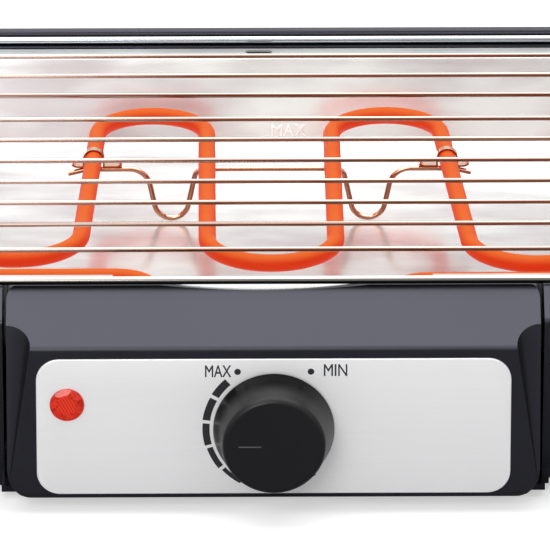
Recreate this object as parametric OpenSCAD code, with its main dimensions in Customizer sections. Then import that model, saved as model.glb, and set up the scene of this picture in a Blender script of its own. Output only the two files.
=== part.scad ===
// Table-top electric barbecue grill: a moulded base, a pressed steel reflector tray that holds
// water, a lift-out heating unit with its control box, and a welded wire grid on top.
// Millimetres, +Z up. The origin is on the table, at the centre of the whole grill's outline.

/* [Base] */
// Length of the base, end wall to end wall
base_w = 438; // [370:1:530]
// Depth of the base, front wall to rear wall
base_d = 275.4; // [228:0.1:332]
// Corner radius of the base in plan
base_r = 56; // [48:1:64]
// Wall thickness of the moulded base
base_wall = 2.6; // [2:0.1:3.2]
// Height of the ledge that carries the grid
ledge_z = 79.7; // [70:0.1:96]
// Fall of the sloping rim from the ledge to the shoulder
rim_drop = 8.7; // [6:0.1:12]
// Run of the sloping rim from the ledge to the shoulder
rim_run = 12.8; // [10:0.1:15]
// Inward draft of the walls over their height
wall_draft = 8; // [5:0.5:10]
// Height of the raised back rim above the ledge
back_rim_h = 4.8; // [3:0.1:6]
// Height of the base's floor above the table
floor_z = 9; // [8:0.5:12]

/* [Grid] */
// Diameter of the grid's frame wire
frame_wire_d = 3; // [2.4:0.1:3.6]
// Diameter of the grid's bars
bar_d = 1.8; // [1.6:0.1:2.4]
// Number of bars
bar_count = 10; // [8:1:12]
// Gap from the front frame wire to the first bar
bar_front_gap = 24.7; // [18:0.1:28]
// Gap between the first two bars, and in front of the last three
bar_wide_gap = 25; // [18:0.1:28]
// Gap from the last bar to the rear frame wire
bar_rear_gap = 23.2; // [18:0.1:30]
// Distance of each cross wire from the start of the grid's rounded corners
cross_in = 28; // [10:1:50]

/* [Tray] */
// Sheet thickness of the reflector tray
tray_t = 0.8; // [0.6:0.1:1.2]
// Depth of the tray, flange to floor
tray_depth = 34; // [28:0.5:37]
// Width of the tray's flange
flange_w = 10.2; // [8:0.1:16]
// Lean of the tray's walls over its depth
tray_draft = 10; // [4:0.5:12]

/* [Heating element] */
// Diameter of the element's sheathed tube
tube_d = 6.5; // [5.5:0.1:7.5]
// Height of the tube's centre below the ledge
tube_drop = 9.2; // [8:0.1:10]
// Distance of the innermost legs from the middle
leg_x = 23.9; // [20:0.1:28]
// Bend radius of the rear turns
rear_bend = 21; // [18:0.1:24]
// Clear distance from the outermost legs to the tray's end walls
leg_clear = 24.3; // [12:0.5:40]
// Outward lean of the left half's second leg, degrees
left_lean = 2.75; // [0:0.05:4.5]
// Outward lean of the right half's second leg, degrees
right_lean = 4; // [0:0.05:4.5]
// How much further forward the front turn of the right half reaches
right_reach = 6.5; // [0:0.5:7]
// Distance of the terminals from the ends of the control box
terminal_in = 53.5; // [48:0.5:58]
// Diameter of the support wire
prop_d = 2; // [1.6:0.1:2.4]

/* [Control box] */
// Width of the control box
box_w = 194; // [180:1:220]
// Depth of the control box, face to rear cover
box_d = 33.6; // [32:0.1:36]
// Height of the box's underside above the table
box_z = 5.7; // [5:0.1:8]
// Wall thickness of the box's shell
box_wall = 2.4; // [2:0.1:3]
// Height from the underside to the top edge of the face
face_h = 59.9; // [56:0.1:70]
// Run of the sloping top, face to flat
slope_run = 26; // [22:0.5:27]
// Margin of plastic beside the brushed faceplate
plate_side = 10.8; // [8:0.1:14]
// Margin of plastic above the faceplate
plate_over = 4.2; // [3:0.1:6]
// Margin of plastic below the faceplate
plate_under = 2.5; // [2:0.1:4]
// Corner radius of the faceplate
plate_r = 8.5; // [4:0.5:12]
// Radius of the finger scoop where it meets the top edge of the face
scoop_r = 8.8; // [6:0.1:10]

/* [Knob and lamp] */
// Diameter of the knob's skirt
knob_d = 44.3; // [38:0.1:46]
// Diameter of the knob's face
knob_face_d = 35.8; // [30:0.1:38]
// Length of the knob
knob_l = 16.3; // [12:0.1:20]
// Height of the knob's axis above the box's underside
knob_up = 28.3; // [26:0.1:30]
// Diameter of the thermostat's spindle
spindle_d = 6; // [5:0.1:6.4]
// Diameter of the pilot lamp's lens
lens_d = 12.5; // [10:0.1:14]
// Distance of the pilot lamp from the end of the faceplate
lamp_in = 11.2; // [9:0.1:30]
// Height of the pilot lamp above the box's underside
lamp_up = 38; // [34:0.5:42]

/* [Handles and feet] */
// Length of each handle's grip between its arms
grip_l = 92; // [70:1:110]
// Diameter of the handle's bar
grip_d = 13; // [11:0.5:15]
// Reach of the handle out from the shoulder of the base
grip_reach = 27; // [24:1:34]
// Diameter of each rubber foot
foot_d = 24; // [18:1:28]

/* [Hidden] */

$fn = 64;
lap = 0.04;
arc_steps = 5;

// Clearances
seat_gap = 0.3;
slide_gap = 0.6;
fit_gap = 0.15;

// Places, front to back. Y is 0 on the face of the control box until place() shifts it.
// All the rounded outlines share their corner centres, and the *_out values count outward from them.
ledge_margin = 1.3;
wire_out = base_r - rim_run - ledge_margin;
flange_out = wire_out - frame_wire_d / 2 - 1;
tray_out = flange_out - flange_w;
box_to_tray = 4.4;
tray_front_y = box_d + box_to_tray + tray_t;
face_to_base = tray_front_y + tray_out - base_r;
base_mid_y = face_to_base + base_d / 2;
knob_gap = 0.9;
knob_front = knob_gap + knob_l;
panel_y = (knob_front - face_to_base - base_d) / 2;
corner_x = base_w / 2 - base_r;
corner_y = base_d / 2 - base_r;

// Heights
shoulder_z = ledge_z - rim_drop;
wire_z = ledge_z + seat_gap + frame_wire_d / 2;
flange_top = ledge_z - 0.9;
tray_floor = flange_top - tray_depth;
tube_z = ledge_z - tube_drop;
knob_z = box_z + knob_up;
lamp_z = box_z + lamp_up;
box_top = ledge_z - 0.1;
face_top = box_z + face_h;

tray_bend = 5;
lip_out = tray_out + tray_t + 1.2;
lip_t = 2.4;
back_rim_in = wire_out + frame_wire_d / 2 + 0.8;
back_rim_t = 4.6;

// Dock in the base for the control box
dock_gap = 1.5;
dock_x = box_w / 2 + dock_gap;
dock_y = box_d + box_to_tray;
sill_h = 5;
tongue_z = 3;
tongue_top = box_z - seat_gap;
tongue_y = face_to_base + 2;
cheek_step = floor_z - tongue_z;

// Safety switch
switch_x = 39 - box_w / 2;
switch_y = 19;
plunger_d = 5.6;
plunger_travel = 2;
boss_top = box_z + plunger_travel - seat_gap;

// Heating unit
cover_t = 2.4;
cover_y = box_d - cover_t;
plate_steel_t = 1.2;
terminal_x = box_w / 2 - terminal_in;
plate_steel_x = terminal_x + 12;
plate_steel_top = tube_z + 3;
notch_x = terminal_x + 15;
notch_z = tube_z - 8.5;
cord_z = 22;
cord_r = 4;
cord_notch_r = 8;
plate_recess = 0.6;
plate_w = box_w - 2 * plate_side;
plate_h = face_h - plate_over - plate_under;
plate_z = box_z + plate_under + plate_h / 2;
lamp_x = plate_w / 2 - lamp_in;
plate_proud = 0.2;
post_x = box_w / 2 - 19;
cord_x = post_x - 16;
post_z = [box_z + 9.5, box_z + 50];
post_d = 7;
screw_pilot = 2.6;
stat_screw_x = 14;

// Handles
handle_z = shoulder_z - 13;
arm_bend = 14;
handle_mid_y = base_mid_y;
wall_tilt = atan(wall_draft / (shoulder_z - floor_z));
foot_x = corner_x + 8;
foot_y = corner_y + 14;

// Shallow dish in the top of the box, and the slot in the tray's rear flange
dish_x = -3;
dish_r = 600;
dish_depth = 1.2;
hang_slot_x = -3.5;
hang_slot_in = 6.6;
hang_slot_l = 10.6;
hang_slot_w = 3.4;

// Thermostat
stat_y = box_wall + 0.2;
stat_bracket_t = 1.2;
stat_body_w = 34;
stat_body_h = 22;
stat_body_l = 14;

// Terminal block
block_x = cord_x - 20;
block_w = 24;
block_h = 13;
block_top = box_z + box_wall + block_h;

// Internal wires, all in the upright plane of the thermostat's blades
wire_d = 2.4;
wire_bend = 5;
wire_top = tube_z - 6.2;
blade_x = 10 + 3.15 + wire_d / 2 + 0.3;
blade_y = stat_y + stat_bracket_t + stat_body_l + 3;
tube_end_y = blade_y + 4.2;

// Terminal plate's screws
plate_screw_x = 24;
plate_screw_z = tube_z - 12;

// Heating element: distances of its rear turns and front runs from the tray's walls, then its bends
rear_turn_in = 41.1;
front_run_in = 17.2;
element_rear_y = base_mid_y + corner_y + tray_out - rear_turn_in;
element_run_y = tray_front_y + front_run_in;
element_mid_y = element_run_y + 13.2;
element_turn_y = element_mid_y + 4.8;
run_reach = 0.7;
run_bend = 18;
end_bend = 14;

// The tray's end wall at the height of the tube, and the outermost legs inside it
tray_end_x = corner_x + tray_out - tray_draft * (flange_top - tube_z) / tray_depth;
leg_end_x = tray_end_x - leg_clear - tube_d / 2;

// The second leg leans, so the front turns take the width that is left
leg_slant_y = element_rear_y - rear_bend - element_turn_y;
slant_x = (leg_slant_y + rear_bend * sin(left_lean)) * tan(left_lean);
front_bend = (leg_end_x - leg_x - rear_bend * (3 + cos(left_lean)) - slant_x)
    / (1 + cos(left_lean) - (1 - sin(left_lean)) * tan(left_lean));

// Support wire and the clips that tie the second pair of legs to it
prop_y = element_rear_y - 44.5;

// Where a second leg that leans by c degrees crosses the support wire
function clip_x(c) = leg_x + rear_bend * (1 + cos(c))
    + (element_rear_y - rear_bend + rear_bend * sin(c) - prop_y) * tan(c);

prop_z = tube_z - tube_d / 2 - prop_d / 2 - 0.1;
prop_foot_z = tray_floor + seat_gap + prop_d / 2;
prop_tilt = 78;
prop_bends = [4, 6.5, 8];
prop_foot_x = leg_x + 13.6;
prop_end_x = clip_x(left_lean) + 9.67;
prop_tip = 6.5;
prop_droop = 14;
tip_run = prop_tip * cos(prop_droop) + prop_bends[0] * sin(prop_droop);
tip_fall = prop_tip * sin(prop_droop) + prop_bends[0] * (1 - cos(prop_droop));
clip_w = 3.2;
clip_t = 0.7;
clip_in = tube_d / 2 + 0.2;
clip_z = prop_z - tube_z + prop_d / 2 + 0.1;
clip_curl = 4;
clip_leaf_in = 4.8;
clip_leaf_out = 2.4;

// Grid
grid_front_y = base_mid_y - corner_y - wire_out;
grid_rear_y = base_mid_y + corner_y + wire_out;
weld = 0.35;
bar_z = wire_z + frame_wire_d / 2 + bar_d / 2 - weld;
cross_x = corner_x - cross_in;
bar_pitch = (grid_rear_y - grid_front_y - bar_front_gap - 2 * bar_wide_gap - bar_rear_gap) / (bar_count - 3);

// ---------- Outlines and sweeps ----------

function unit(v) = v / norm(v);

// Points of corner b, between its neighbours a and c, rounded to radius r
function corner_arc(a, b, c, r) =
    let (u = unit(a - b), v = unit(c - b), half = acos(u * v) / 2)
    let (m = b + unit(u + v) * r / sin(half), p = b + u * r / tan(half) - m)
    let (q = b + v * r / tan(half) - m, start = atan2(p.y, p.x), turn = atan2(q.y, q.x) - start)
    let (sweep = turn > 180 ? turn - 360 : turn < -180 ? turn + 360 : turn)
    [for (k = [0:arc_steps]) m + r * [cos(start + sweep * k / arc_steps), sin(start + sweep * k / arc_steps)]];

// An outline whose corner i is rounded to radii[i]; a radius of 0 leaves it sharp
function rounded(pts, radii) =
    let (n = len(pts))
    [for (i = [0:n - 1]) each radii[i] == 0
        ? [pts[i]]
        : corner_arc(pts[(i + n - 1) % n], pts[i], pts[(i + 1) % n], radii[i])];

// A flat rounded rectangle, centred
module round_rect(w, h, r) {
    square([w - 2 * r, h], center = true);
    square([w, h - 2 * r], center = true);
    for (sx = [-1, 1], sy = [-1, 1])
        translate([sx * (w / 2 - r), sy * (h / 2 - r)]) circle(r);
}

// A slot with round ends, l long over all and d wide, lying along X
module slot(l, d) {
    square([l - d, d], center = true);
    for (s = [-1, 1]) translate([s * (l - d) / 2, 0]) circle(d = d);
}

// A plate of the rounded outline that lies `out` beyond the corner centres
module outline_plate(out, z, h) {
    translate([0, base_mid_y, z]) linear_extrude(h)
        round_rect(2 * (corner_x + out), 2 * (corner_y + out), out);
}

// Sweeps a section round the rounded outline: x is the distance out from the corner centres
module around() {
    translate([0, base_mid_y, 0]) {
        for (q = [0:3]) {
            mid = [[1, 1], [-1, 1], [-1, -1], [1, -1]][q];
            translate([mid.x * corner_x, mid.y * corner_y, 0]) rotate(90 * q)
                rotate_extrude(angle = 90) children();
        }
        for (side = [0, 180]) rotate(side) {
            translate([corner_x, corner_y, 0]) rotate([90, 0, 0])
                linear_extrude(2 * corner_y) children();
            rotate(90) translate([corner_y, corner_x, 0]) rotate([90, 0, 0])
                linear_extrude(2 * corner_x) children();
        }
    }
}

// A round rod bent in one plane. Each step is [length, 0] for a straight run or
// [radius, angle] for a bend, positive to the left. It starts at 0,0 heading along +Y.
// A hair-thin collar laps each joint between two runs, so that they make one rod.
module bent_rod(d, steps, i = 0) {
    if (i < len(steps)) {
        s = steps[i];
        if (i > 0) translate([0, -lap, 0]) rotate([-90, 0, 0]) cylinder(d = d + lap / 2, h = 2 * lap);
        if (s[1] == 0) {
            rotate([-90, 0, 0]) cylinder(d = d, h = s[0]);
            translate([0, s[0], 0]) bent_rod(d, steps, i + 1);
        } else {
            side = sign(s[1]);
            translate([-side * s[0], 0, 0]) {
                rotate(side > 0 ? 0 : 180 + s[1]) rotate_extrude(angle = abs(s[1]))
                    translate([s[0], 0]) circle(d = d);
                rotate(s[1]) translate([side * s[0], 0, 0]) bent_rod(d, steps, i + 1);
            }
        }
    }
}

// One rod from the steps of its two halves, each given from the middle outwards
function both_halves(left, right) =
    [for (i = [len(left) - 1:-1:1]) left[i],
     left[0][1] == 0 ? [left[0][0] + right[0][0], 0] : [left[0][0], left[0][1] + right[0][1]],
     for (i = [1:len(right) - 1]) right[i]];

// Moves the parts from the panel's frame to the frame of the whole grill
module place() {
    translate([0, panel_y, 0]) children();
}

// Extrudes a side profile of [y, z] points along X, w wide and centred
module along_x(w) {
    translate([-w / 2, 0, 0]) rotate([90, 0, 90]) linear_extrude(w) children();
}

// Extrudes a front outline of [x, z] points from y0 back to y1
module along_y(y0, y1) {
    translate([0, y1, 0]) rotate([90, 0, 0]) linear_extrude(y1 - y0) children();
}

// A rod along +Y from y0 to y1
module rod_y(x, z, d, y0, y1) {
    translate([x, y0, z]) rotate([-90, 0, 0]) cylinder(d = d, h = y1 - y0);
}

// ---------- Base ----------

// Section of the moulded wall: draft, sloping rim, ledge and the lip under the tray's flange
function base_section() = let (b = base_r, lip_z = flange_top - tray_t - seat_gap) rounded([
    [b - wall_draft, floor_z], [b, shoulder_z], [b - rim_run, ledge_z],
    [flange_out + slide_gap, ledge_z], [flange_out + slide_gap, lip_z],
    [lip_out, lip_z], [lip_out, lip_z - lip_t], [b - rim_run, lip_z - lip_t],
    [b - base_wall, shoulder_z - 1.5], [b - wall_draft - base_wall, floor_z]],
    [1.5, 2.5, 0.6, 0, 0, 0, 0, 1, 2, 0]);

module back_rim() {
    difference() {
        around() polygon(rounded([
            [back_rim_in, shoulder_z + 3], [back_rim_in + back_rim_t, shoulder_z + 3],
            [back_rim_in + back_rim_t, ledge_z + back_rim_h], [back_rim_in, ledge_z + back_rim_h]],
            [0, 0, 1.6, 0.8]));
        // The rim runs round the back and both ends, and stops at the front corners
        translate([-base_w, -base_d, 0]) cube([2 * base_w, base_d + face_to_base + base_r, 2 * ledge_z]);
    }
}

module floor_vents() {
    pitch = 12;
    rows = floor((2 * corner_y - 20) / pitch / 2);
    for (sx = [-1, 1], k = [-rows:rows])
        translate([sx * corner_x / 2, base_mid_y + k * pitch, floor_z - 1]) linear_extrude(base_wall + 2)
            slot(corner_x - 46, 4);
}

// Upright side plates of the dock, its sill and the tongue under the control box
module dock() {
    lip_z = flange_top - tray_t - seat_gap;
    for (s = [-1, 1]) {
        translate([s * (dock_x + base_wall / 2), 0, 0]) along_x(base_wall) polygon([
            [face_to_base + wall_draft, tongue_z], [face_to_base + wall_draft, floor_z],
            [face_to_base + 0.8, shoulder_z], [face_to_base + rim_run, ledge_z - 0.4],
            [base_mid_y - corner_y - flange_out - slide_gap, ledge_z - 0.4],
            [base_mid_y - corner_y - flange_out - slide_gap, lip_z],
            [base_mid_y - corner_y - lip_out, lip_z],
            [base_mid_y - corner_y - lip_out, tray_floor - 8], [dock_y, tray_floor - 12],
            [dock_y, tongue_z]]);
        mirror([s < 0 ? 1 : 0, 0, 0]) along_y(face_to_base + wall_draft, dock_y) polygon([
            [dock_x, tongue_z], [dock_x + 0.6, tongue_z],
            [dock_x + 0.6 + cheek_step, floor_z], [dock_x, floor_z + 1]]);
    }
    translate([-dock_x - 1, dock_y - base_wall, tongue_z])
        cube([2 * dock_x + 2, base_wall, floor_z + sill_h - tongue_z]);
    translate([-dock_x - 1, tongue_y, tongue_z]) cube([2 * dock_x + 2, dock_y - tongue_y, tongue_top - tongue_z]);
    translate([switch_x, switch_y, tongue_z]) cylinder(r = 2, h = boss_top - tongue_z);
}

module floor_ribs() {
    for (x = [-1, -0.5, 0.5, 1] * corner_x)
        translate([x - 1, base_mid_y - corner_y + 12, floor_z + 1]) cube([2, 2 * corner_y + 20, 7]);
}

module base_shell() place() color("#1d1d20") difference() {
    union() {
        difference() {
            union() {
                around() polygon(base_section());
                outline_plate(base_r - wall_draft - 1, floor_z, base_wall);
                floor_ribs();
            }
            translate([-dock_x, -base_d, -1]) cube([2 * dock_x, base_d + dock_y, ledge_z + 20]);
        }
        back_rim();
        dock();
    }
    floor_vents();
    // Open notch that lets the mains lead out under the rear wall
    along_y(base_mid_y + corner_y + base_r - 20, base_mid_y + base_d) translate([cord_x, cord_z]) {
        circle(r = cord_notch_r);
        translate([-cord_notch_r, -cord_z]) square([2 * cord_notch_r, cord_z]);
    }
    for (sx = [-1, 1], sy = [-1, 1])
        translate([sx * foot_x, base_mid_y + sy * foot_y, 0]) cylinder(d = 6 + 2 * fit_gap, h = 30);
    handle_screw_axes() cylinder(d = 4 + 2 * fit_gap, h = 12, center = true);
}

module rubber_feet() place() color("#2b2b2d") for (sx = [-1, 1], sy = [-1, 1])
    translate([sx * foot_x, base_mid_y + sy * foot_y, 0]) {
        rotate_extrude() polygon(rounded([
            [0, 0], [foot_d / 2 - 1.5, 0], [foot_d / 2, floor_z], [0, floor_z]], [0, 1.2, 0.5, 0]));
        cylinder(d = 6, h = floor_z + base_wall + 1);
        translate([0, 0, floor_z + base_wall]) cylinder(d1 = 8.6, d2 = 5, h = 2.4);
    }

// ---------- Handles ----------

// Steps of the handle's bar: out, round, along, round and back
function handle_steps() = [[grip_reach + 4 - arm_bend, 0], [arm_bend, 90],
    [grip_l - 2 * arm_bend + grip_d, 0], [arm_bend, 90], [grip_reach + 4 - arm_bend, 0]];

module handle(side) {
    root_x = base_w / 2 - 4;
    arm_y = (grip_l + grip_d) / 2;
    mirror([side < 0 ? 1 : 0, 0, 0]) difference() {
        union() {
            translate([root_x, handle_mid_y - arm_y, handle_z]) rotate(-90) bent_rod(grip_d, handle_steps());
            for (s = [-1, 1])
                translate([root_x, handle_mid_y + s * arm_y, handle_z]) rotate([0, 90, 0])
                    cylinder(d1 = grip_d + 9, d2 = grip_d, h = 9);
        }
        // The pads are cut to the drafted end wall
        translate([base_w / 2, handle_mid_y, shoulder_z]) rotate([0, wall_tilt, 0])
            translate([-40, -grip_l, -80]) cube([40, 2 * grip_l, 120]);
        for (s = [-1, 1])
            translate([root_x - 1, handle_mid_y + s * arm_y, handle_z]) rotate([0, 90, 0])
                cylinder(d = 3.4, h = 16);
    }
}

module handle_left() place() color("#232326") handle(-1);
module handle_right() place() color("#232326") handle(1);

// Places something on the axis of each handle screw, on the inside of the end wall
module handle_screw_axes() {
    wall_in = base_w / 2 - base_wall - (shoulder_z - handle_z) * tan(wall_tilt);
    for (side = [-1, 1], s = [-1, 1])
        mirror([side < 0 ? 1 : 0, 0, 0])
            translate([wall_in, handle_mid_y + s * (grip_l + grip_d) / 2, handle_z])
                rotate([0, 90, 0]) children();
}

// A pan-head screw along +Z: the head's seat is at z = 0 and the cross slot is behind it
module pan_screw(d, l) {
    translate([0, 0, -0.1 * d]) cylinder(d = d, h = l + 0.1 * d);
    translate([0, 0, -0.42 * d]) difference() {
        cylinder(d1 = 1.5 * d, d2 = 2 * d, h = 0.42 * d);
        for (a = [0, 90]) rotate(a) translate([-0.6 * d, -0.09 * d, -1]) cube([1.2 * d, 0.18 * d, 1 + 0.22 * d]);
    }
}

module handle_screws() place() color("#b9bbbe") handle_screw_axes()
    translate([0, 0, -0.9]) pan_screw(3.2, 14);

// ---------- Reflector tray ----------

// Section of the pressed sheet: flange, drafted wall and the bend into the floor
function tray_section() = let (f = tray_out - tray_draft, t = tray_t) rounded([
    [flange_out, flange_top - t], [flange_out, flange_top], [tray_out, flange_top],
    [f, tray_floor], [f - tray_bend - 2, tray_floor], [f - tray_bend - 2, tray_floor - t],
    [f + t * 0.9, tray_floor - t], [tray_out + t, flange_top - t]],
    [0, 0.2, 1, tray_bend, 0, 0, tray_bend + t, 0.4]);

module reflector_tray() place() color("#dfe1e3") difference() {
    union() {
        around() polygon(tray_section());
        outline_plate(tray_out - tray_draft - tray_bend - 1, tray_floor - tray_t, tray_t);
    }
    // Open notch for the element's terminals
    translate([-notch_x, 0, notch_z]) cube([2 * notch_x, base_mid_y - corner_y - tray_out + 8, 40]);
    // The front flange is cut back behind the control box
    translate([-dock_x - 1, 0, tray_floor]) cube([2 * dock_x + 2, box_d + 2, 60]);
    // Obround slot in the rear flange
    translate([hang_slot_x, base_mid_y + corner_y + tray_out + hang_slot_in, flange_top - 3]) linear_extrude(6)
        slot(hang_slot_l, hang_slot_w);
}

// ---------- Control box ----------

// Side profile of the box, set in by t on every side but the rear
function box_profile(t) = rounded([
    [t, box_z + t], [t, face_top - t * 0.75], [slope_run + t * 0.4, box_top - t],
    [box_d + 5, box_top - t], [box_d + 5, box_z + t]], [3, 2.2, 1.2, 0, 0]);

// Front outline of the box, set in by t
function box_front(t) = let (x = box_w / 2 - t) rounded([
    [-x, box_z + t], [x, box_z + t], [x, box_top - t], [-x, box_top - t]],
    [11 - t, 11 - t, 3, 3]);

// The finger scoops: slanted cones down both front corners, wider at the top
module scoops(grow) {
    low_z = box_z + 8;
    rate = (scoop_r - 1) / (face_top - low_z);
    for (s = [-1, 1])
        translate([s * box_w / 2, 0, low_z]) cylinder(r1 = 1 + grow,
            r2 = 1 + grow + rate * (box_top + 2 - low_z), h = box_top + 2 - low_z);
}

// The shallow dish in the middle of the box's rear top edge, from y0 to the back
module top_dish(y0) {
    translate([dish_x, y0, box_top + dish_r - dish_depth]) rotate([-90, 0, 0])
        cylinder(r = dish_r, h = box_d, $fn = 400);
}

module box_solid(t) {
    difference() {
        intersection() {
            along_x(box_w + 10) polygon(box_profile(t));
            along_y(-1, box_d) polygon(box_front(t));
        }
        scoops(t);
    }
}

module control_housing() place() color("#202023") difference() {
    union() {
        difference() {
            box_solid(0);
            box_solid(box_wall);
        }
        for (s = [-1, 1], z = post_z) rod_y(s * post_x, z, post_d, box_wall - 0.5, cover_y);
    }
    for (s = [-1, 1], z = post_z) rod_y(s * post_x, z, screw_pilot, cover_y - 14, box_d + 1);
    top_dish(slope_run - 6);
    // Recess for the faceplate, and the holes behind it
    along_y(-1, plate_recess) translate([0, plate_z])
        round_rect(plate_w + 2 * fit_gap, plate_h + 2 * fit_gap, plate_r);
    rod_y(0, knob_z, 10.6, -1, 8);
    rod_y(-lamp_x, lamp_z, 10.4, -1, 8);
    for (s = [-1, 1]) rod_y(s * stat_screw_x, knob_z, 4.2, -1, 8);
    // Hole for the switch plunger in the underside
    translate([switch_x, switch_y, 0]) cylinder(d = plunger_d + 2 * seat_gap, h = box_z + box_wall + 1);
}

module rear_cover() place() color("#29292c") difference() {
    intersection() {
        along_x(box_w + 10) polygon(box_profile(box_wall + fit_gap));
        along_y(cover_y, box_d) polygon(box_front(box_wall + fit_gap));
    }
    for (s = [-1, 1]) rod_y(s * terminal_x, tube_z, tube_d + 5, 0, box_d + 1);
    rod_y(cord_x, cord_z, 12 + 2 * fit_gap, 0, box_d + 1);
    for (s = [-1, 1], z = post_z) rod_y(s * post_x, z, 3.6, 0, box_d + 1);
    for (s = [-1, 1]) rod_y(s * plate_screw_x, plate_screw_z, screw_pilot, 0, box_d + 1);
    for (k = [-3:3]) translate([k * 9, 0, box_z + 14]) along_y(0, box_d + 1) rotate(90) slot(12, 3);
    top_dish(0);
}

module cover_screws() place() color("#b9bbbe") for (s = [-1, 1], z = post_z)
    translate([s * post_x, box_d, z]) rotate([90, 0, 0]) pan_screw(2.6, 12);

module faceplate() place() color("#c9cacb") difference() {
    along_y(-plate_proud, plate_recess) translate([0, plate_z]) round_rect(plate_w, plate_h, plate_r);
    rod_y(0, knob_z, 10.6, -1, 8);
    rod_y(-lamp_x, lamp_z, 10.4, -1, 8);
    for (s = [-1, 1]) rod_y(s * stat_screw_x, knob_z, 4.2, -1, 8);
}

// ---------- Pilot lamp ----------

module lamp_lens() place() color("#d8321f") translate([-lamp_x, -plate_proud, lamp_z]) rotate([90, 0, 0])
    rotate_extrude() difference() {
        union() {
            translate([0, -1.8]) square([5, 3]);
            intersection() {
                translate([0, -12 + 3.6]) circle(12);
                square([lens_d / 2, 4]);
            }
        }
        translate([-1, -3]) square([4.4, 4]);
    }

module lamp_body() place() color("#e9e4d8") {
    rod_y(-lamp_x, lamp_z, 6.2, 1.2, 16);
    rod_y(-lamp_x, lamp_z, 9.8, 1.8, 7);
    rod_y(-lamp_x, lamp_z, 14, box_wall + 0.1, box_wall + 1.3);
    for (s = [-1, 1]) translate([-lamp_x + s * 2 - 0.4, 15, lamp_z - 1.2]) cube([0.8, 7, 2.4]);
}

// ---------- Thermostat ----------

module thermostat_bracket() place() color("#a9abad") difference() {
    union() {
        along_y(stat_y, stat_y + stat_bracket_t) translate([0, knob_z]) round_rect(40, 16, 3);
        rod_y(0, knob_z, 9.8, plate_proud, stat_y + 0.5);
    }
    rod_y(0, knob_z, spindle_d + 0.6, -2, 10);
    for (s = [-1, 1]) rod_y(s * stat_screw_x, knob_z, 2.6, -1, 8);
}

module thermostat_body() place() color("#e4dfd2") difference() {
    union() {
        along_y(stat_y + stat_bracket_t, stat_y + stat_bracket_t + stat_body_l)
            translate([0, knob_z]) round_rect(stat_body_w, stat_body_h, 2);
        for (s = [-1, 1], k = [-1, 1])
            translate([s * 10 - 3.15, stat_y + stat_bracket_t + stat_body_l - 1, knob_z + k * 6 - 0.4])
                cube([6.3, 7, 0.8]);
    }
    rod_y(0, knob_z, spindle_d + 0.6, 0, stat_y + 9);
    for (s = [-1, 1]) rod_y(s * stat_screw_x, knob_z, 3.6, 0, stat_y + 8);
}

module thermostat_screws() place() color("#b9bbbe") for (s = [-1, 1])
    difference() {
        union() {
            rod_y(s * stat_screw_x, knob_z, 2.6, -plate_proud, 8);
            translate([s * stat_screw_x, -plate_proud, knob_z]) rotate([90, 0, 0]) cylinder(d1 = 5.6, d2 = 4.4, h = 0.6);
            rod_y(s * stat_screw_x, knob_z, 3.9, -plate_proud - 0.1, box_wall);
        }
        translate([s * stat_screw_x - 2, -2, knob_z - 0.4]) cube([4, 1.5, 0.8]);
    }

// Spindle with its flat, turning with the knob
module thermostat_spindle() place() color("#c8a24a") difference() {
    rod_y(0, knob_z, spindle_d, -knob_front + 4, stat_y + 8);
    translate([-5, -knob_front, knob_z + 0.3 * spindle_d]) cube([10, knob_front - 3, 5]);
}

// ---------- Knob ----------

// Profile of the knob: x is the radius and y the distance in front of the panel
function knob_profile() = let (r = knob_d / 2, f = knob_face_d / 2, y = knob_gap, l = knob_front) rounded([
    [0, l - 2.2], [f - 2.2, l - 2.2], [r - 2.4, y + 2], [r - 2, y], [r, y], [r - 0.6, y + 2.4],
    [f + 0.5, l], [0, l]], [0, 1.5, 0, 0, 0.4, 1.5, 2.2, 0]);

module knob() place() color("#1c1c1e") difference() {
    union() {
        translate([0, 0, knob_z]) rotate([90, 0, 0]) rotate_extrude() polygon(knob_profile());
        difference() {
            union() {
                rod_y(0, knob_z, 11, -knob_front + 1, -knob_gap - 1);
                for (a = [0, 60, 120]) translate([0, 0, knob_z]) rotate([0, a, 0])
                    translate([-knob_face_d / 2 + 1.4, -knob_front + 1, -0.7]) cube([knob_face_d - 2.8, 8, 1.4]);
            }
            // D-shaped bore for the spindle
            difference() {
                rod_y(0, knob_z, spindle_d + 0.1, -knob_front + 3.8, 1);
                translate([-5, -knob_front, knob_z + 0.3 * spindle_d + 0.05]) cube([10, knob_front - 3, 5]);
            }
        }
    }
    // Pointer groove, at nine o'clock when the knob is half way up its scale
    translate([-knob_face_d / 2 + 5, -knob_front - 1, knob_z - 0.3]) cube([8.3, 1.3, 0.6]);
}

// ---------- Terminals, switch and wiring ----------

module terminal_block() place() color("#ece7dc") difference() {
    translate([block_x - block_w / 2, 12, box_z + box_wall]) cube([block_w, 11, block_h]);
    for (k = [-1, 0, 1]) {
        rod_y(block_x + 7.5 * k, box_z + box_wall + 4.5, 3.4, 11, 24);
        translate([block_x + 7.5 * k, 17.5, box_z + box_wall + 5]) cylinder(d = 4, h = 10);
    }
}

module safety_switch() place() color("#2f3a4a") difference() {
    translate([switch_x - 10, switch_y - 3.2, boss_top + 6.4]) cube([20, 6.4, 10.4]);
    for (s = [-1, 1]) translate([switch_x + 4.75 * s, switch_y - 4, boss_top + 9.4]) rotate([-90, 0, 0]) cylinder(d = 2.4, h = 9);
}

module switch_plunger() place() color("#d9dadb") translate([switch_x, switch_y, boss_top + seat_gap])
    rotate_extrude() polygon([[0, 0], [plunger_d / 2 - 0.4, 0], [plunger_d / 2, 0.4], [plunger_d / 2, 2.6],
        [2.2, 3], [1.1, 4.4], [1.1, 5.7], [0, 5.7]]);

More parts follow.
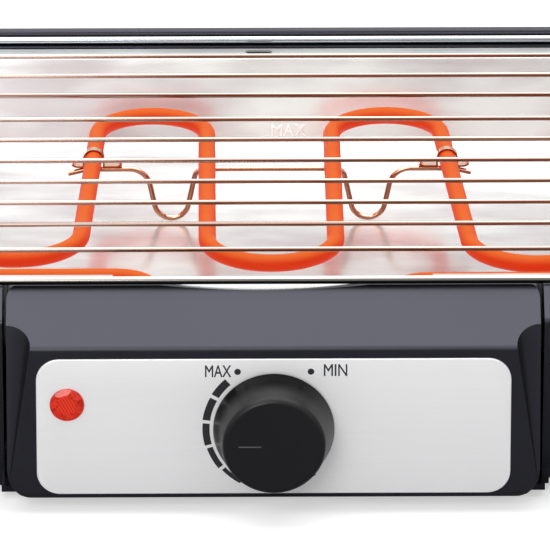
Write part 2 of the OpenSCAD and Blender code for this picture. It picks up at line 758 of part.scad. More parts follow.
// A wire that falls from x0, z0 to the height z1, then turns and runs in to x1, all at depth y
module wire_in(x0, z0, z1, x1, y) {
    side = sign(x1 - x0);
    translate([x0, y, z0]) rotate([90, 0, 0]) rotate(180)
        bent_rod(wire_d, [[z0 - z1 - wire_bend, 0], [wire_bend, side * 90], [abs(x1 - x0) - wire_bend, 0]]);
}

module internal_wires() place() color("#c23b2a") {
    for (s = [-1, 1]) wire_in(s * terminal_x, wire_top, knob_z + 6, s * blade_x, blade_y);
    wire_in(block_x - 7.5, block_top + 16, block_top + 8, blade_x, blade_y);
    translate([block_x - 7.5, blade_y, block_top + 0.3]) cylinder(d = wire_d, h = 16);
}

module cord_gland() place() color("#26262a") difference() {
    union() {
        rod_y(cord_x, cord_z, 12, 19, box_d + 0.2);
        rod_y(cord_x, cord_z, 15.5, box_d, box_d + 1.4);
        rod_y(cord_x, cord_z, 16, cover_y - 4, cover_y);
    }
    rod_y(cord_x, cord_z, 2 * cord_r, 18, box_d + 3);
}

// ---------- Heating element ----------

module terminal_plate() place() color("#c4c6c8") difference() {
    along_y(box_d, box_d + plate_steel_t) translate([0, (plate_steel_top + notch_z - 12) / 2])
        round_rect(2 * plate_steel_x, plate_steel_top - notch_z + 12, 3);
    for (s = [-1, 1]) {
        rod_y(s * terminal_x, tube_z, tube_d + 3 + 2 * fit_gap, 0, box_d + 3);
        rod_y(s * plate_screw_x, plate_screw_z, 3.6, 0, box_d + 3);
    }
}

module plate_screws() place() color("#b9bbbe") for (s = [-1, 1])
    translate([s * plate_screw_x, box_d + plate_steel_t, plate_screw_z]) rotate([90, 0, 0]) pan_screw(2.6, 7);

// Steps of one half of the element, from the middle of the front turn to the terminal: it leans
// by c degrees, and its front turn reaches f further forward, its run run_reach of that
function element_steps(c, f) =
    let (r1 = rear_bend, r2 = front_bend, turn_y = element_turn_y - f, run_y = element_run_y - run_reach * f)
    let (up = element_rear_y - r1 - element_mid_y - leg_x)
    let (slant = (element_rear_y - r1 + r1 * sin(c) + r2 * sin(c) - turn_y - r2) / cos(c))
    let (third = element_rear_y - r1 - turn_y - r2)
    let (x2 = leg_x + r1 + r1 * cos(c) + slant * sin(c) + r2 * cos(c) + r2 + 2 * r1)
    [[leg_x, 90], [up, 0], [r1, c - 180], [slant, 0], [r2, 180 - c], [third, 0], [r1, -180],
     [element_rear_y - r1 - run_y - run_bend, 0], [run_bend, -90],
     [x2 - run_bend - terminal_x - end_bend, 0], [end_bend, 90], [run_y - end_bend - tube_end_y, 0]];

module heating_element() place() color("#e8622f")
    translate([-terminal_x, tube_end_y, tube_z]) bent_rod(tube_d,
        both_halves(element_steps(left_lean, 0), element_steps(right_lean, right_reach)));

module element_bushes() place() color("#efe9dd") for (s = [-1, 1]) difference() {
    union() {
        rod_y(s * terminal_x, tube_z, tube_d + 3, cover_y, box_d + 3.2);
        rod_y(s * terminal_x, tube_z, tube_d + 6, box_d + plate_steel_t, box_d + plate_steel_t + 1.4);
    }
    rod_y(s * terminal_x, tube_z, tube_d + 2 * fit_gap, 0, box_d + 9);
}

module terminal_pins() place() color("#d6d2c4") for (s = [-1, 1]) {
    rod_y(s * terminal_x, tube_z, 5, tube_end_y - 2.2, tube_end_y);
    rod_y(s * terminal_x, tube_z, 2.4, tube_end_y - 5.5, tube_end_y - 2.2);
    translate([s * terminal_x - 0.4, tube_end_y - 5.2, tube_z - 6]) cube([0.8, 3, 6]);
}

// ---------- Element support ----------

// Steps of half the support wire, from the middle out through the foot on the tray floor
function prop_steps() =
    let (a = prop_tilt, fall = prop_z - prop_foot_z, b = prop_bends, v = 1 - cos(a))
    let (s1 = (fall - (b[0] + b[1]) * v) / sin(a), s2 = (fall - (b[1] + b[2]) * v) / sin(a))
    let (run1 = (b[0] + b[1]) * sin(a) + s1 * cos(a), run2 = (b[1] + b[2]) * sin(a) + s2 * cos(a))
    [[prop_foot_x - run1, 0], [b[0], -a], [s1, 0], [b[1], 2 * a], [s2, 0], [b[2], -a],
     [prop_end_x - prop_foot_x - run2 - tip_run, 0], [b[0], -prop_droop], [prop_tip, 0]];

module support_wire() place() color("#c98a6a") translate([-prop_end_x, prop_y, prop_z - tip_fall]) rotate([90, 0, 0])
    rotate(prop_droop - 90) bent_rod(prop_d, both_halves(prop_steps(), prop_steps()));

// Half a clip, in its own upright plane: over the tube, down to the wire and out in a curled leaf
module half_clip(leaf) {
    rotate_extrude(angle = 90) translate([clip_in, 0]) square([clip_t, clip_w]);
    translate([clip_in, clip_z, 0]) {
        cube([clip_t, lap - clip_z, clip_w]);
        cube([leaf, clip_t, clip_w]);
        translate([leaf, clip_curl, 0]) rotate(-90) rotate_extrude(angle = 40)
            translate([clip_curl - clip_t, 0]) square([clip_t, clip_w]);
    }
}

module element_clips() place() color("#d08a62") for (s = [-1, 1])
    translate([s * clip_x(s < 0 ? left_lean : right_lean), prop_y + clip_w / 2, tube_z]) rotate([90, 0, 0]) for (k = [-1, 1])
        mirror([k > 0 ? 1 : 0, 0, 0]) half_clip(s == k ? clip_leaf_in : clip_leaf_out);

// ---------- Grid ----------

// The wide gaps are the one behind the first bar and the one in front of the last three
function bar_y(k) = grid_front_y + bar_front_gap + k * bar_pitch
    + ((k > 0 ? 1 : 0) + (k > bar_count - 4 ? 1 : 0)) * (bar_wide_gap - bar_pitch);

// Half length of the grid at depth y, following its rounded corners
function grid_half(y) = let (d = abs(y - base_mid_y) - corner_y)
    corner_x + (d > 0 ? sqrt(wire_out * wire_out - d * d) : wire_out);

module grid_frame() place() color("#b8babd") around() translate([wire_out, wire_z]) circle(d = frame_wire_d);

module grid_cross_wires() place() color("#b8babd") for (s = [-1, 1])
    rod_y(s * cross_x, wire_z, frame_wire_d, grid_front_y + frame_wire_d / 2 - weld, grid_rear_y - frame_wire_d / 2 + weld);

module grid_bars() place() color("#c9cbce") for (k = [0:bar_count - 1]) let (half = grid_half(bar_y(k)) + 0.6)
    translate([-half, bar_y(k), bar_z]) rotate([0, 90, 0]) cylinder(d = bar_d, h = 2 * half);

base_shell();
rubber_feet();
handle_left();
handle_right();
handle_screws();
reflector_tray();
control_housing();
rear_cover();
cover_screws();
faceplate();
lamp_lens();
lamp_body();
thermostat_body();
thermostat_bracket();
thermostat_screws();
terminal_block();
safety_switch();
internal_wires();
cord_gland();
terminal_plate();
plate_screws();
heating_element();
element_bushes();
terminal_pins();
support_wire();
element_clips();
knob();
thermostat_spindle();
switch_plunger();
grid_frame();
grid_cross_wires();
grid_bars();
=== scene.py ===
import math

import bpy
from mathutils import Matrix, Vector


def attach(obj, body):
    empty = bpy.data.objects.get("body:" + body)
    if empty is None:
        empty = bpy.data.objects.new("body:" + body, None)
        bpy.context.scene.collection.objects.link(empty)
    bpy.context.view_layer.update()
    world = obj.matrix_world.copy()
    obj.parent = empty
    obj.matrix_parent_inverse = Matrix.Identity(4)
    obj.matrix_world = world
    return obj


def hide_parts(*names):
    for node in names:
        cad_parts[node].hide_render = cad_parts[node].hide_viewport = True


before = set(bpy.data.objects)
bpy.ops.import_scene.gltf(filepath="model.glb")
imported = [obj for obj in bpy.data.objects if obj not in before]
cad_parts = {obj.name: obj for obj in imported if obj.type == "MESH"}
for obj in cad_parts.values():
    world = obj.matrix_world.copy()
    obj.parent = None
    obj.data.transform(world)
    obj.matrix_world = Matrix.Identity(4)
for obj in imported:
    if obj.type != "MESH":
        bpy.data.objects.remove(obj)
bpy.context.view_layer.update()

MM = 0.001
QUARTER_TURN = math.radians(90)

# The control box and what is on its face: X to the right, -Y to the front, Z up
FACE_Y = -135.1 * MM  # front face of the control box
PLATE_Y = FACE_Y - 0.2 * MM  # brushed face of the panel
PANEL_W, PANEL_H, PANEL_R = 172.4 * MM, 53.2 * MM, 8.5 * MM  # the panel, and the radius of its corners
PANEL_Z = 34.8 * MM  # height of the panel's middle
KNOB_Z = 34 * MM  # height of the knob's axis
KNOB_FRONT_Y = FACE_Y - 17.2 * MM
LAMP_X, LAMP_Z = -75 * MM, 43.7 * MM


# ---------- Node helpers ----------

# A mix of two colours: its inputs, which share their names with others, and how its node is set
FACTOR, FIRST, SECOND = 0, 6, 7
OF_COLOURS = {"output": 2, "data_type": "RGBA"}


def srgb(code):
    """An sRGB hex colour as linear RGBA."""
    values = [int(code[i : i + 2], 16) / 255 for i in (1, 3, 5)]
    return [v / 12.92 if v <= 0.04045 else ((v + 0.055) / 1.055) ** 2.4 for v in values] + [1]


def scale_for(size_mm):
    """The scale at which a noise texture's features are about this large."""
    return 1 / (size_mm * MM)


def add(tree, kind, inputs=None, output=0, **settings):
    """Adds a node with its settings and gives one of its outputs.

    Each input is a value, or another node's output to link.
    """
    made = tree.nodes.new("ShaderNode" + kind)
    for name, value in settings.items():
        setattr(made, name, value)
    for socket, value in (inputs or {}).items():
        if isinstance(value, bpy.types.NodeSocket):
            tree.links.new(value, made.inputs[socket])
        else:
            made.inputs[socket].default_value = value
    return made.outputs[output] if made.outputs else None


def start_material(name):
    """An empty material, with its tree and the object coordinates that its patterns read."""
    material = bpy.data.materials.new(name)
    material.use_nodes = True
    tree = material.node_tree
    tree.nodes.clear()
    return material, tree, add(tree, "TexCoord", output="Object")


def coat(material, inputs):
    """Gives a material its surface, a shader with these inputs."""
    tree = material.node_tree
    add(tree, "OutputMaterial", {"Surface": add(tree, "BsdfPrincipled", inputs)})
    return material


# ---------- Materials ----------

MOTTLE_MM = 28  # slow patches on moulded parts
MOTTLE_GLOSS = 0.07  # how much rougher or smoother the patches are
SCRATCH_MM, TINT_MM = 0.5, 18  # scratches and changes of tint on drawn metal
KNOB_RIM_FROM, KNOB_RIM_TO = 19.6 * MM, 20.8 * MM  # radii where the satin cone turns into its rim of painted shade
FLANGE_FROM, FLANGE_TO = 78.6 * MM, 79.2 * MM  # heights where the tray's wall turns into its flange
COLD_Y, HOT_Y = -99 * MM, -86 * MM  # where the sheath is still cold, and where it glows fully
RIB_TURN = math.radians(28)  # slant of the ribs in the lamp's lens
RIB_SCALE = 0.314 / MM  # at which a wave texture's ribs are 1 mm apart
RIBBED_R, PLAIN_R = 2.6 * MM, 4.2 * MM  # radii where the lens is fully ribbed, and where it is plain


def moulded(name, colour, worn, roughness, grain_mm, grain_height_mm, specular=0.5, gloss="#FFFFFF"):
    """Moulded plastic or rubber: the mould's eroded grain, and a slow mottle of gloss and colour. Its gloss
    colour tints its reflections, a painted cast of light.
    """
    material, tree, place = start_material(name)
    grain = add(tree, "TexNoise", {"Vector": place, "Scale": scale_for(grain_mm), "Detail": 3})
    mottle = add(tree, "TexNoise", {"Vector": place, "Scale": scale_for(MOTTLE_MM), "Detail": 4})
    mixed = add(tree, "Mix", {FACTOR: mottle, FIRST: srgb(colour), SECOND: srgb(worn)}, **OF_COLOURS)
    smooth, rough = roughness - MOTTLE_GLOSS, roughness + MOTTLE_GLOSS
    satin = add(tree, "MapRange", {"Value": mottle, "To Min": smooth, "To Max": rough})
    bump = add(tree, "Bump", {"Height": grain, "Strength": 0.5, "Distance": grain_height_mm * MM})
    gloss_inputs = {"Roughness": satin, "Specular IOR Level": specular, "Specular Tint": srgb(gloss)}
    return coat(material, {"Base Color": mixed, "Normal": bump, **gloss_inputs})


def knob_plastic():
    """Fine moulded ABS: satin on the cone and face, and painted shade on the narrow rim beside the panel,
    near black and metallic there so that it takes no light.
    """
    material, tree, place = start_material("fine_moulded_abs")
    grain = add(tree, "TexNoise", {"Vector": place, "Scale": scale_for(0.35), "Detail": 3})
    mottle = add(tree, "TexNoise", {"Vector": place, "Scale": scale_for(MOTTLE_MM), "Detail": 4})
    centred = add(tree, "Mapping", {"Vector": place, "Location": (0, 0, -KNOB_Z), "Scale": (1, 0, 1)})
    radius = add(tree, "VectorMath", {0: centred}, "Value", operation="LENGTH")
    # Painted shade: the ring of the cone beside the panel is made near black, standing in for the shade at
    # the curve of its skirt
    rim = add(tree, "MapRange", {"Value": radius, "From Min": KNOB_RIM_FROM, "From Max": KNOB_RIM_TO})
    body = add(tree, "Mix", {FACTOR: mottle, FIRST: srgb("#131315"), SECOND: srgb("#18181A")}, **OF_COLOURS)
    mixed = add(tree, "Mix", {FACTOR: rim, FIRST: body, SECOND: srgb("#050505")}, **OF_COLOURS)
    satin = add(tree, "MapRange", {"Value": mottle, "To Min": 0.27, "To Max": 0.41})
    bump = add(tree, "Bump", {"Height": grain, "Strength": 0.5, "Distance": 0.012 * MM})
    gloss_inputs = {"Roughness": satin, "Specular IOR Level": 0.24, "Metallic": rim}
    return coat(material, {"Base Color": mixed, "Normal": bump, **gloss_inputs})


def drawn_metal(name, colour, tinted, roughness):
    """Drawn, turned or plated metal: fine scratches in its gloss and a slow change of tint."""
    material, tree, place = start_material(name)
    scratch = add(tree, "TexNoise", {"Vector": place, "Scale": scale_for(SCRATCH_MM), "Detail": 4})
    tint = add(tree, "TexNoise", {"Vector": place, "Scale": scale_for(TINT_MM), "Detail": 3})
    mixed = add(tree, "Mix", {FACTOR: tint, FIRST: srgb(colour), SECOND: srgb(tinted)}, **OF_COLOURS)
    drawn = add(tree, "MapRange", {"Value": scratch, "To Min": roughness * 0.7, "To Max": roughness * 1.3})
    return coat(material, {"Metallic": 1.0, "Base Color": mixed, "Roughness": drawn})


def polished_tray_steel():
    """Stainless sheet, polished before it was drawn: bright, softly patched, and wavy where it was pulled."""
    material, tree, place = start_material("polished_stainless_steel")
    pull = add(tree, "TexNoise", {"Vector": place, "Scale": scale_for(55), "Detail": 2})
    haze = add(tree, "TexNoise", {"Vector": place, "Scale": scale_for(9), "Detail": 5})
    # The patches are drawn out along the length of the tray
    drawn = add(tree, "Mapping", {"Vector": place, "Scale": (0.35, 1, 1)})
    patch = add(tree, "TexNoise", {"Vector": drawn, "Scale": scale_for(26), "Detail": 3})
    bright = add(tree, "MapRange", {"Value": patch, "From Min": 0.38, "From Max": 0.6})
    mixed = add(tree, "Mix", {FACTOR: bright, FIRST: srgb("#D6D4D5"), SECOND: srgb("#F6FBF9")}, **OF_COLOURS)
    hazy = add(tree, "MapRange", {"Value": haze, "To Min": 0.16, "To Max": 0.2})
    # The flange was turned over a die, which left it duller than the walls below it
    height = add(tree, "SeparateXYZ", {"Vector": place}, "Z")
    turned = add(tree, "MapRange", {"Value": height, "From Min": FLANGE_FROM, "From Max": FLANGE_TO})
    mirror = add(tree, "MapRange", {"Value": turned, "To Min": 0.6, "To Max": 0.1})
    bump = add(tree, "Bump", {"Height": pull, "Strength": 0.6, "Distance": 0.9 * MM})
    return coat(material, {"Base Color": mixed, "Roughness": hazy, "Metallic": mirror, "Normal": bump})


def brushed_steel():
    """Stainless sheet brushed from end to end: soft, level and a little streaked along X."""
    material, tree, place = start_material("brushed_stainless_steel")
    # Brush lines are 0.05 mm apart on the real sheet, and are drawn 0.4 mm apart so that they show
    stretched = add(tree, "Mapping", {"Vector": place, "Scale": (1 / 45, 1, 1 / 0.4)})
    lines = add(tree, "TexNoise", {"Vector": stretched, "Scale": 1 / MM, "Detail": 3})
    cloud = add(tree, "TexNoise", {"Vector": place, "Scale": scale_for(30), "Detail": 2})
    mixed = add(tree, "Mix", {FACTOR: lines, FIRST: srgb("#F0F0F1"), SECOND: srgb("#F7F6F6")}, **OF_COLOURS)
    satin = add(tree, "MapRange", {"Value": cloud, "To Min": 0.34, "To Max": 0.42})
    bump = add(tree, "Bump", {"Height": lines, "Strength": 0.08, "Distance": 0.02 * MM})
    return coat(material, {"Metallic": 0.35, "Base Color": mixed, "Roughness": satin, "Normal": bump})


def hot_sheath():
    """Nickel alloy sheath at red heat, under a dull skin of oxide; its glow and oxide carry painted light,
    lighter on top and deeper red at its sides.
    """
    material, tree, place = start_material("glowing_alloy_sheath")
    # The sheath stays dark in its last stretch before the terminals, where no coil is inside it
    along = add(tree, "SeparateXYZ", {"Vector": place}, "Y")
    heat = add(tree, "MapRange", {"Value": along, "From Min": COLD_Y, "From Max": HOT_Y})
    cloud = add(tree, "TexNoise", {"Vector": place, "Scale": scale_for(22), "Detail": 3})
    # Painted light: the glow and the oxide are lighter where the sheath faces up and deeper red at its sides,
    # a painted shading as if lit from above
    normal = add(tree, "NewGeometry", output="Normal")
    facing = add(tree, "SeparateXYZ", {"Vector": normal}, "Z")
    top = add(tree, "MapRange", {"Value": facing, "From Min": 0.3, "From Max": 0.95})
    bright = add(tree, "Mix", {FACTOR: cloud, FIRST: srgb("#BE1A04"), SECOND: srgb("#CC2A0C")}, **OF_COLOURS)
    glow = add(tree, "Mix", {FACTOR: top, FIRST: srgb("#C81602"), SECOND: bright}, **OF_COLOURS)
    oxide = add(tree, "Mix", {FACTOR: top, FIRST: srgb("#66370F"), SECOND: srgb("#8A5C1E")}, **OF_COLOURS)
    skin = add(tree, "Mix", {FACTOR: heat, FIRST: srgb("#55524E"), SECOND: oxide}, **OF_COLOURS)
    shining = add(tree, "Mix", {FACTOR: heat, FIRST: srgb("#000000"), SECOND: glow}, **OF_COLOURS)
    glow_inputs = {"Emission Color": shining, "Emission Strength": 1.0}
    return coat(material, {"Base Color": skin, "Roughness": 0.55, "Specular IOR Level": 0.12, **glow_inputs})


def tinted_chrome(name, tones, heights, paler=("X", -30, -90)):
    """Bright steel beside the element, with painted light: a painted highlight above, and painted reflection
    and shade towards its underside.

    Its first three tones lie above, at the side and under; each change runs between two heights of the
    surface's normal. The fourth takes over from the side and under tones along an axis, between two places
    in millimetres.
    """
    material, tree, place = start_material(name)
    normal = add(tree, "NewGeometry", output="Normal")
    facing = add(tree, "SeparateXYZ", {"Vector": normal}, "Z")
    side = add(tree, "MapRange", {"Value": facing, "From Min": heights[0], "From Max": heights[1]})
    under = add(tree, "MapRange", {"Value": facing, "From Min": heights[2], "From Max": heights[3]})
    axis, start, end = paler
    along = add(tree, "SeparateXYZ", {"Vector": place}, axis)
    pale = add(tree, "MapRange", {"Value": along, "From Min": start * MM, "From Max": end * MM})
    cloud = add(tree, "TexNoise", {"Vector": place, "Scale": scale_for(24), "Detail": 3})
    # Painted light: the tones by the normal's height are a painted highlight on top and painted reflection
    # and shade at the side and underneath
    bright, flank, stain, faded = [srgb(tone) for tone in tones]
    stained = add(tree, "Mix", {FACTOR: pale, FIRST: stain, SECOND: faded}, **OF_COLOURS)
    flanked = add(tree, "Mix", {FACTOR: pale, FIRST: flank, SECOND: faded}, **OF_COLOURS)
    upper = add(tree, "Mix", {FACTOR: side, FIRST: bright, SECOND: flanked}, **OF_COLOURS)
    mixed = add(tree, "Mix", {FACTOR: under, FIRST: upper, SECOND: stained}, **OF_COLOURS)
    polish = add(tree, "MapRange", {"Value": cloud, "To Min": 0.1, "To Max": 0.2})
    return coat(material, {"Metallic": 1.0, "Base Color": mixed, "Roughness": polish})


def lamp_red():
    """Red polycarbonate lens, lit from behind: glossy, with slanted ribs in its middle, cloudy round them."""
    material, tree, place = start_material("red_polycarbonate")
    centred = add(tree, "Mapping", {"Vector": place, "Location": (-LAMP_X, 0, -LAMP_Z), "Scale": (1, 0, 1)})
    turned = add(tree, "Mapping", {"Vector": centred, "Rotation": (0, RIB_TURN, 0)})
    ribs = add(tree, "TexWave", {"Vector": turned, "Scale": RIB_SCALE}, "Fac", wave_type="BANDS")
    radius = add(tree, "VectorMath", {0: centred}, "Value", operation="LENGTH")
    middle = add(tree, "MapRange", {"Value": radius, "From Min": PLAIN_R, "From Max": RIBBED_R})
    cloud = add(tree, "TexNoise", {"Vector": place, "Scale": scale_for(3.5), "Detail": 2})
    dim = add(tree, "MapRange", {"Value": cloud, "From Min": 0.42, "From Max": 0.66})
    plain = add(tree, "Mix", {FACTOR: dim, FIRST: srgb("#C02810"), SECOND: srgb("#9A180A")}, **OF_COLOURS)
    ribbed = add(tree, "Mix", {FACTOR: ribs, FIRST: srgb("#A81C0C"), SECOND: srgb("#CC3218")}, **OF_COLOURS)
    mixed = add(tree, "Mix", {FACTOR: middle, FIRST: plain, SECOND: ribbed}, **OF_COLOURS)
    glow_inputs = {"Emission Color": mixed, "Emission Strength": 0.3}
    return coat(material, {"Base Color": mixed, "Roughness": 0.16, "Specular IOR Level": 0.36, **glow_inputs})


def printing_ink():
    """Screen-printed ink: flat black, a little uneven in its gloss."""
    material, tree, place = start_material("black_printing_ink")
    film = add(tree, "TexNoise", {"Vector": place, "Scale": scale_for(0.6), "Detail": 2})
    mixed = add(tree, "Mix", {FACTOR: film, FIRST: srgb("#161619"), SECOND: srgb("#202024")}, **OF_COLOURS)
    matt = add(tree, "MapRange", {"Value": film, "To Min": 0.45, "To Max": 0.6})
    return coat(material, {"Base Color": mixed, "Roughness": matt})


# The bluish gloss colours of the housing and the base are a painted bluish cast in their reflections
housing_abs = moulded("satin_moulded_abs", "#111114", "#161619", 0.33, 0.5, 0.02, 0.54, "#E8EAFF")
base_pp = moulded("moulded_polypropylene", "#131315", "#18181A", 0.26, 0.6, 0.02, 0.55, "#E6E6FF")
grip_phenolic = moulded("moulded_phenolic", "#1A1A1C", "#222225", 0.42, 0.8, 0.03)
knob_abs = knob_plastic()
pointer_paint = moulded("grey_marking_paint", "#4E4E53", "#5A5A5F", 0.5, 0.3, 0.01)
foot_rubber = moulded("moulded_rubber", "#242426", "#2E2E30", 0.78, 0.7, 0.05, 0.3)
steatite = moulded("glazed_steatite", "#E9E3D6", "#F1ECE2", 0.3, 1.2, 0.02)
white_nylon = moulded("moulded_nylon", "#DAD8D0", "#E6E3DA", 0.45, 0.8, 0.02)
switch_plastic = moulded("blue_thermoset", "#2A3544", "#34414F", 0.5, 0.6, 0.02)
wire_silicone = moulded("silicone_insulation", "#B43425", "#C8402E", 0.48, 0.9, 0.02)
tray_steel = polished_tray_steel()
panel_steel = brushed_steel()
sheath = hot_sheath()
# The grid's wires, the support wire and the clips: a painted highlight above, and painted reflection and
# shade below
frame_chrome = tinted_chrome(
    "chrome_plated_wire", ("#ECEAE7", "#75706B", "#2A2E30", "#9DA2A8"), (0.8, 0.66, 0.25, -0.1),
    paler=("Y", 20, 100)
)
bar_chrome = tinted_chrome(
    "heat_tinted_chrome_wire", ("#EFE6DC", "#A38579", "#74503F", "#A8938A"), (0.95, 0.84, 0.7, 0.45)
)
warm_wire = tinted_chrome(
    "heat_tinted_steel_wire", ("#EFCBB8", "#CC9A80", "#96604A", "#96604A"), (0.9, 0.7, 0.45, 0.1)
)
clip_steel = tinted_chrome(
    "heat_stained_spring_steel", ("#EBBFA2", "#C47A54", "#9C4824", "#9C4824"), (0.85, 0.6, 0.45, 0.15)
)
zinc = drawn_metal("zinc_plated_steel", "#B9BBBD", "#C9CACA", 0.34)
sheet_steel = drawn_metal("pickled_sheet_steel", "#B8BABC", "#C6C8CA", 0.38)
turned_brass = drawn_metal("turned_brass", "#C79F4B", "#D4B062", 0.28)
embossed_steel = drawn_metal("embossed_stainless_steel", "#DEDAD8", "#EEEAE8", 0.34)
strip_steel = drawn_metal("bright_stainless_strip", "#F4F4F3", "#FFFFFF", 0.3)
lens_red = lamp_red()
ink = printing_ink()

FINISHES = {
    base_pp: ("base_shell",),
    grip_phenolic: ("handle_left", "handle_right"),
    foot_rubber: ("rubber_feet",),
    housing_abs: ("control_housing", "rear_cover", "cord_gland"),
    knob_abs: ("knob",),
    tray_steel: ("reflector_tray",),
    panel_steel: ("faceplate",),
    sheath: ("heating_element",),
    frame_chrome: ("grid_frame", "grid_cross_wires"),
    bar_chrome: ("grid_bars",),
    warm_wire: ("support_wire",),
    clip_steel: ("element_clips",),
    zinc: ("handle_screws", "cover_screws", "plate_screws", "thermostat_screws"),
    sheet_steel: ("terminal_plate", "thermostat_bracket", "terminal_pins"),
    turned_brass: ("thermostat_spindle",),
    steatite: ("element_bushes", "thermostat_body", "terminal_block", "lamp_body"),
    white_nylon: ("switch_plunger",),
    switch_plastic: ("safety_switch",),
    wire_silicone: ("internal_wires",),
    lens_red: ("lamp_lens",),
}


def wear(thing, material):
    """Gives an object one material in place of what it has."""
    thing.data.materials.clear()
    thing.data.materials.append(material)


for material, names in FINISHES.items():
    for name in names:
        wear(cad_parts[name], material)


# ---------- Modelling helpers ----------


def clear_selection():
    bpy.ops.object.select_all(action="DESELECT")


def take(thing):
    """Selects one object alone and makes it the active one."""
    clear_selection()
    thing.select_set(True)
    bpy.context.view_layer.objects.active = thing


def modify(thing, kind, **settings):
    """Gives the active object a modifier with its settings, and applies it."""
    modifier = thing.modifiers.new(kind.lower(), kind)
    for name, value in settings.items():
        setattr(modifier, name, value)
    bpy.ops.object.modifier_apply(modifier=modifier.name)


def settle(thing, name, body, material):
    """Applies a finished piece's place, names it, and puts it on its body in its finish."""
    take(thing)
    bpy.ops.object.transform_apply(location=True, rotation=True, scale=True)
    thing.name = name
    thing.data.name = name
    wear(thing, material)
    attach(thing, body)


def copy_node(node):
    """A free copy of a CAD node's mesh where it stands, with its vertices merged and its flat faces whole."""
    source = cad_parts[node]
    thing = bpy.data.objects.new(node + "_form", source.data.copy())
    bpy.context.scene.collection.objects.link(thing)
    thing.matrix_world = source.matrix_world.copy()
    take(thing)
    bpy.ops.object.transform_apply(location=True, rotation=True, scale=True)
    bpy.ops.object.mode_set(mode="EDIT")
    bpy.ops.mesh.select_all(action="SELECT")
    bpy.ops.mesh.remove_doubles(threshold=1e-6)
    bpy.ops.mesh.dissolve_limited(angle_limit=math.radians(0.5))
    bpy.ops.mesh.select_all(action="DESELECT")
    bpy.ops.object.mode_set(mode="OBJECT")
    return thing


def add_bar(length, width, location=(0, 0, 0)):
    """A flat bar of no thickness, face up; a Solidify modifier makes it solid."""
    clear_selection()
    bpy.ops.mesh.primitive_plane_add(size=1, location=location)
    bar = bpy.context.object
    bar.scale = (length, width, 1)
    take(bar)
    bpy.ops.object.transform_apply(location=False, rotation=False, scale=True)
    return bar


def add_word(word, size, extrude, bevel=0):
    """A word as a mesh, face up, with its middle at the origin."""
    clear_selection()
    bpy.ops.object.text_add(location=(0, 0, 0))
    text = bpy.context.object
    text.data.body = word
    text.data.align_x = "CENTER"
    text.data.align_y = "CENTER"
    text.data.size = size
    text.data.extrude = extrude
    text.data.bevel_depth = bevel
    take(text)
    bpy.ops.object.convert(target="MESH")
    return text


# ---------- Grid wires ----------


def draw_wires(node, name, material):
    """The grid's drawn wires, round all the way along: each is smooth up to its cut ends."""
    wires = copy_node(node)
    take(wires)
    bpy.ops.object.shade_smooth_by_angle(angle=math.radians(60))
    settle(wires, name, "grid", material)
    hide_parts(node)


draw_wires("grid_bars", "bar_wires", bar_chrome)
draw_wires("grid_frame", "frame_wire", frame_chrome)
draw_wires("grid_cross_wires", "cross_wires", frame_chrome)


# ---------- Panel sheet ----------

STAT_SCREW_X = 14 * MM  # of the two thermostat screws, beside the knob's axis
PANEL_HOLES = ((0, KNOB_Z), (-STAT_SCREW_X, KNOB_Z), (STAT_SCREW_X, KNOB_Z), (LAMP_X, LAMP_Z))
HOLE_REACH = 8 * MM  # how far round its middle a hole's edges lie
PANEL_ROLL = 0.45 * MM  # width of the panel's rolled edge
FRONT_SLACK = 0.01 * MM
OUTLINE_SLACK = 0.05 * MM


def on_outline(ends):
    """Whether both ends of an edge lie on the panel's rounded outline."""
    half_w, half_h = PANEL_W / 2 - PANEL_R, PANEL_H / 2 - PANEL_R
    for point in ends:
        x, z = abs(point.x), abs(point.z - PANEL_Z)
        out = math.hypot(max(x - half_w, 0), max(z - half_h, 0))
        if abs(out - PANEL_R) > OUTLINE_SLACK:
            return False
    return True


def press_panel():
    """The brushed panel with the rolled edge that the press leaves round its outline."""
    sheet = copy_node("faceplate")
    points = sheet.data.vertices
    for edge in sheet.data.edges:
        ends = [points[i].co for i in edge.vertices]
        in_front = all(p.y < PLATE_Y + FRONT_SLACK for p in ends)
        at_hole = any(math.dist((p.x, p.z), hole) < HOLE_REACH for p in ends for hole in PANEL_HOLES)
        edge.select = in_front and not at_hole and on_outline(ends)
    bpy.ops.object.mode_set(mode="EDIT")
    bpy.ops.mesh.select_mode(type="EDGE")
    bpy.ops.mesh.bevel(offset=PANEL_ROLL, segments=4, affect="EDGES")
    bpy.ops.mesh.select_mode(type="VERT")
    bpy.ops.object.mode_set(mode="OBJECT")
    bpy.ops.object.shade_smooth_by_angle(angle=math.radians(35))
    settle(sheet, "panel_sheet", "heating_unit", panel_steel)
    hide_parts("faceplate")


press_panel()


# ---------- Pilot lamp's lens ----------

LENS_R = 6.25 * MM
LENS_SIDE = 0.5 * MM  # straight side under the crown
LENS_CROWN = 1.2 * MM  # height of the dome that the crown follows, up to its last ring
LENS_RINGS = 6
LENS_STEP = math.radians(10)  # from one ring of the crown to the next
LENS_SLIVER = 0.12 * MM  # points this close are merged, so that no sliver catches the light
LENS_Y = PLATE_Y + 0.02 * MM  # its back, just under the panel's face
FACET_R, FACET_RISE = 4.2 * MM, 1.25 * MM  # a point of every facet: how far out and how high it lies
FACET_TURNS = (108, 168, 228, 288, 348, 408)  # degrees round the lens
FACET_TILTS = (28, 18, 18, 18, 18, 18)  # degrees from the panel's plane


def extrude(rise):
    bpy.ops.mesh.extrude_region_move(TRANSFORM_OT_translate={"value": (0, 0, rise)})


